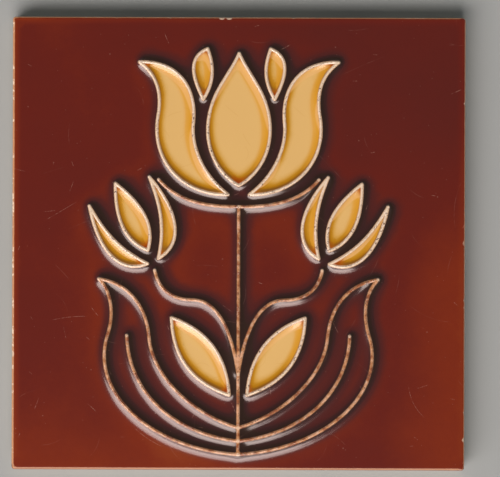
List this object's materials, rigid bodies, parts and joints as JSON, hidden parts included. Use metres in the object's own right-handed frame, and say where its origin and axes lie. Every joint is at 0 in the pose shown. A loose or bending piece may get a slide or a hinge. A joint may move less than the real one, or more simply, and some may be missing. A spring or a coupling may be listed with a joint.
{
  "type": "art nouveau wall tile",
  "caption": "Square relief-moulded glazed wall tile with raised lines round cream tulip cells on a dark brown ground, and a keyed back.",
  "frame": {"origin": "middle of the back, on the plane of the keyed back's lands", "axes": "+Z out of the decorated face, +Y towards the top of the ornament, +X to its right"},
  "size_m": [0.1524, 0.1524, 0.0095],
  "materials": {
    "glazed_clay": "glossy translucent brown glaze, with cream glaze in the cells, over a buff body"
  },
  "bodies": {
    "root": {"tile": "glazed_clay"}
  },
  "joints": []
}
